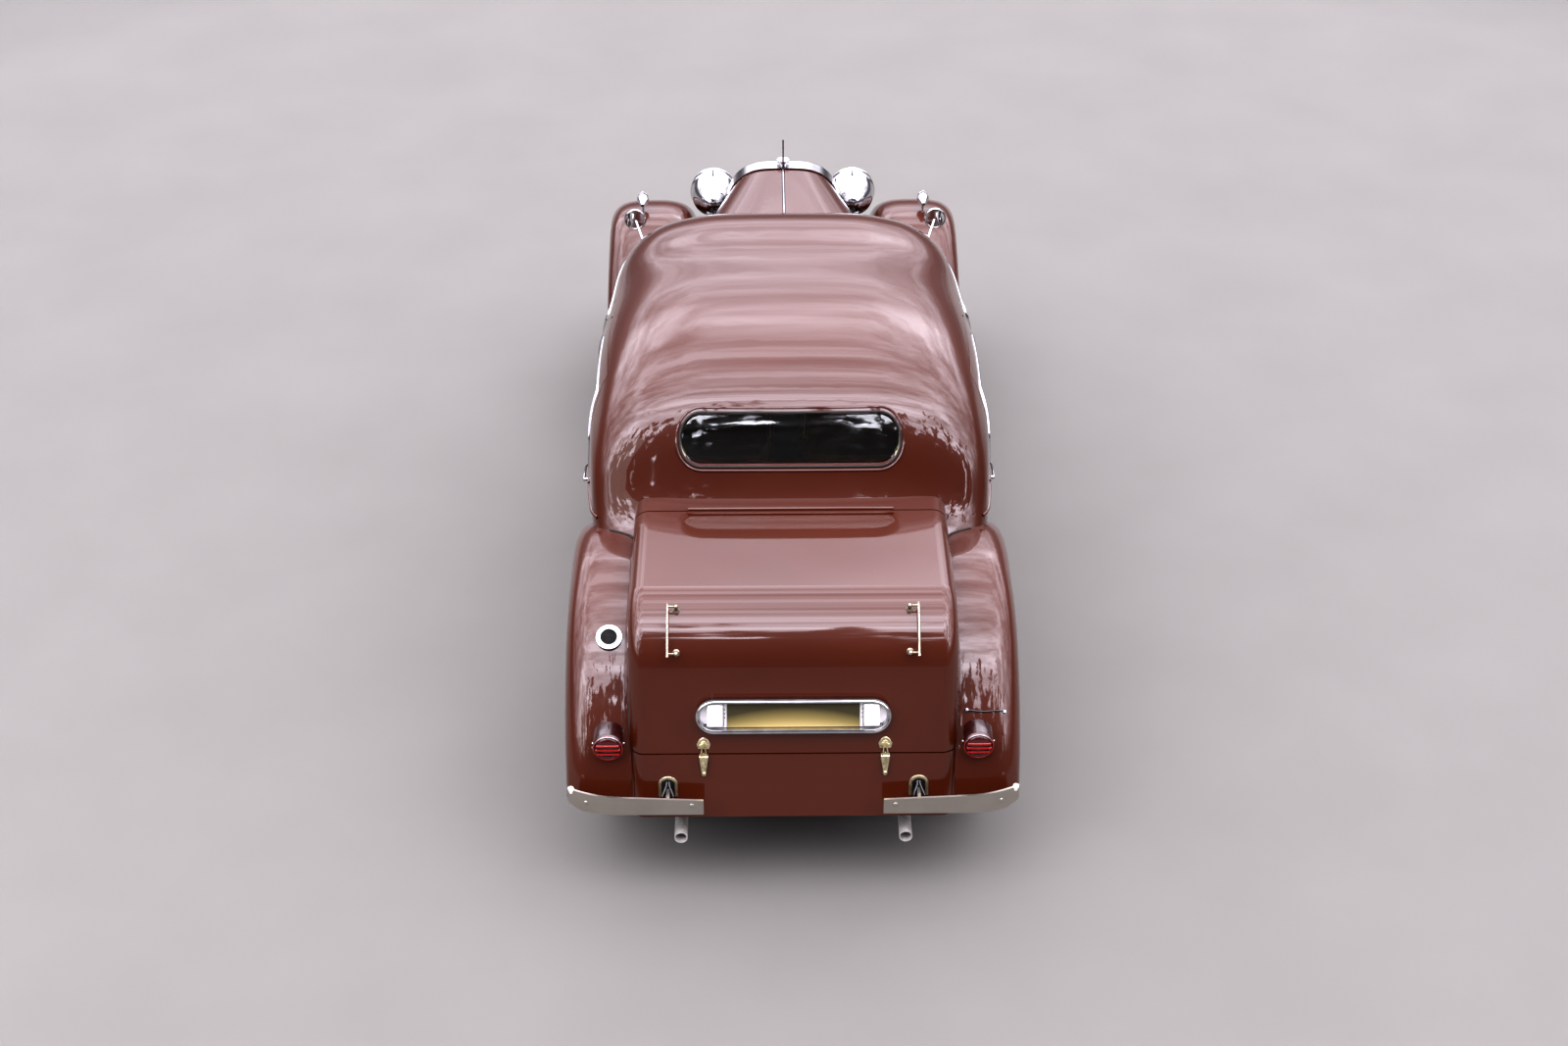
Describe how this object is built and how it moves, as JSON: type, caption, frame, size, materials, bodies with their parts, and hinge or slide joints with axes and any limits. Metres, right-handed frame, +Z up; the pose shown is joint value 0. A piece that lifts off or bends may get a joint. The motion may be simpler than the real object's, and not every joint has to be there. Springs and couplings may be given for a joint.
{
  "type": "vintage saloon car",
  "caption": "Late-1930s style luxury saloon with swept wings, upright radiator and a built-out luggage boot with a lifting lid; doors, bonnet, boot, steering and wheels move.",
  "frame": {"origin": "on the ground, under the middle of the car's overall length", "axes": "+X towards the front of the car, +Y towards its left side, +Z up"},
  "size_m": [4.5998, 1.7422, 1.5853],
  "materials": {
    "coachwork_paint": "gloss deep maroon-brown",
    "glass": "clear",
    "chrome": "polished",
    "satin_aluminium": "satin",
    "black_paint": "semi-gloss black",
    "spring_steel": "oiled dark steel",
    "cast_iron": "rough",
    "exhaust_steel": "satin, heat dulled",
    "tail_lamp_red": "gloss red",
    "board_rubber": "matt ribbed",
    "walnut": "polished",
    "black_rim": "gloss",
    "tan_leather": "satin",
    "wheel_metal": "satin silver",
    "tyre_rubber": "matt"
  },
  "bodies": {
    "car_body": {"chassis_frame": "black_paint", "floor_pan": "black_paint", "body_shell": "coachwork_paint", "scuttle": "coachwork_paint", "facia_and_column": "walnut", "seats": "tan_leather", "fixed_glass": "glass", "bonnet_sides": "coachwork_paint", "bonnet_hinge": "chrome", "radiator_shell": "chrome", "radiator_core": "black_paint", "radiator_cap": "chrome", "front_lamps": "chrome", "tail_lamps": "tail_lamp_red", "front_wings": "coachwork_paint", "rear_wings": "coachwork_paint", "running_boards": "board_rubber", "boot_body": "coachwork_paint", "bumpers": "satin_aluminium", "mirrors": "chrome", "fuel_filler": "chrome", "fuel_tank": "black_paint", "exhaust_pipes": "exhaust_steel", "engine_block": "cast_iron", "front_axle": "black_paint", "rear_axle": "black_paint", "leaf_springs": "spring_steel"},
    "front_door_left": {"front_door_left": "coachwork_paint", "front_door_glass_left": "glass"},
    "front_door_right": {"front_door_right": "coachwork_paint", "front_door_glass_right": "glass"},
    "rear_door_left": {"rear_door_left": "coachwork_paint", "rear_door_glass_left": "glass"},
    "rear_door_right": {"rear_door_right": "coachwork_paint", "rear_door_glass_right": "glass"},
    "bonnet_left": {"bonnet_left": "coachwork_paint"},
    "bonnet_right": {"bonnet_right": "coachwork_paint"},
    "boot_lid": {"boot_lid": "coachwork_paint", "number_plate_box": "chrome"},
    "steering_wheel": {"steering_wheel": "black_rim"},
    "knuckle_left": {"knuckle_left": "black_paint"},
    "knuckle_right": {"knuckle_right": "black_paint"},
    "track_rod": {"track_rod": "black_paint"},
    "wheel_front_left": {"wheel_front_left": "wheel_metal", "tyre_front_left": "tyre_rubber"},
    "wheel_front_right": {"wheel_front_right": "wheel_metal", "tyre_front_right": "tyre_rubber"},
    "wheel_rear_left": {"wheel_rear_left": "wheel_metal", "tyre_rear_left": "tyre_rubber"},
    "wheel_rear_right": {"wheel_rear_right": "wheel_metal", "tyre_rear_right": "tyre_rubber"}
  },
  "joints": [
    {"name": "steer_left", "type": "hinge", "parent": "car_body", "child": "knuckle_left", "pos_m": [1.7, 0.611, 0.356], "axis": [0, 0, 1], "range_deg": [-30, 30]},
    {"name": "steer_right", "type": "hinge", "parent": "car_body", "child": "knuckle_right", "pos_m": [1.7, -0.611, 0.356], "axis": [0, 0, 1], "range_deg": [-30, 30]},
    {"name": "track_rod_pivot", "type": "hinge", "parent": "knuckle_left", "child": "track_rod", "pos_m": [1.55, 0.611, 0.2767], "axis": [0, 0, 1], "range_deg": [-30, 30]},
    {"name": "steering_wheel_turn", "type": "hinge", "parent": "car_body", "child": "steering_wheel", "pos_m": [0.33, -0.36, 0.985], "axis": [-0.848, 0, 0.5299], "range_deg": [-480, 480]},
    {"name": "wheel_spin_front_left", "type": "hinge", "parent": "knuckle_left", "child": "wheel_front_left", "pos_m": [1.7, 0.711, 0.356], "axis": [0, 1, 0], "continuous": true},
    {"name": "wheel_spin_front_right", "type": "hinge", "parent": "knuckle_right", "child": "wheel_front_right", "pos_m": [1.7, -0.711, 0.356], "axis": [0, 1, 0], "continuous": true},
    {"name": "wheel_spin_rear_left", "type": "hinge", "parent": "car_body", "child": "wheel_rear_left", "pos_m": [-1.5, 0.711, 0.356], "axis": [0, 1, 0], "continuous": true},
    {"name": "wheel_spin_rear_right", "type": "hinge", "parent": "car_body", "child": "wheel_rear_right", "pos_m": [-1.5, -0.711, 0.356], "axis": [0, 1, 0], "continuous": true},
    {"name": "front_door_left_hinge", "type": "hinge", "parent": "car_body", "child": "front_door_left", "pos_m": [-0.126, 0.826, 0.8], "axis": [0, 0, 1], "range_deg": [0, 65]},
    {"name": "front_door_right_hinge", "type": "hinge", "parent": "car_body", "child": "front_door_right", "pos_m": [-0.126, -0.826, 0.8], "axis": [0, 0, -1], "range_deg": [0, 65]},
    {"name": "rear_door_left_hinge", "type": "hinge", "parent": "car_body", "child": "rear_door_left", "pos_m": [-0.194, 0.826, 0.8], "axis": [0, 0, -1], "range_deg": [0, 65]},
    {"name": "rear_door_right_hinge", "type": "hinge", "parent": "car_body", "child": "rear_door_right", "pos_m": [-0.194, -0.826, 0.8], "axis": [0, 0, 1], "range_deg": [0, 65]},
    {"name": "bonnet_left_hinge", "type": "hinge", "parent": "car_body", "child": "bonnet_left", "pos_m": [0.9003, 0, 1.189], "axis": [0.9996, 0, 0.027], "range_deg": [0, 55]},
    {"name": "bonnet_right_hinge", "type": "hinge", "parent": "car_body", "child": "bonnet_right", "pos_m": [0.9003, 0, 1.189], "axis": [-0.9996, 0, -0.027], "range_deg": [0, 55]},
    {"name": "boot_lid_hinge", "type": "hinge", "parent": "car_body", "child": "boot_lid", "pos_m": [-1.33, 0, 1.1298], "axis": [0, 1, 0], "range_deg": [0, 60]}
  ],
  "couplings": [
    {"joint": "steer_right", "follows": "steer_left", "ratio": 1},
    {"joint": "track_rod_pivot", "follows": "steer_left", "ratio": -1},
    {"joint": "steering_wheel_turn", "follows": "steer_left", "ratio": 16}
  ]
}
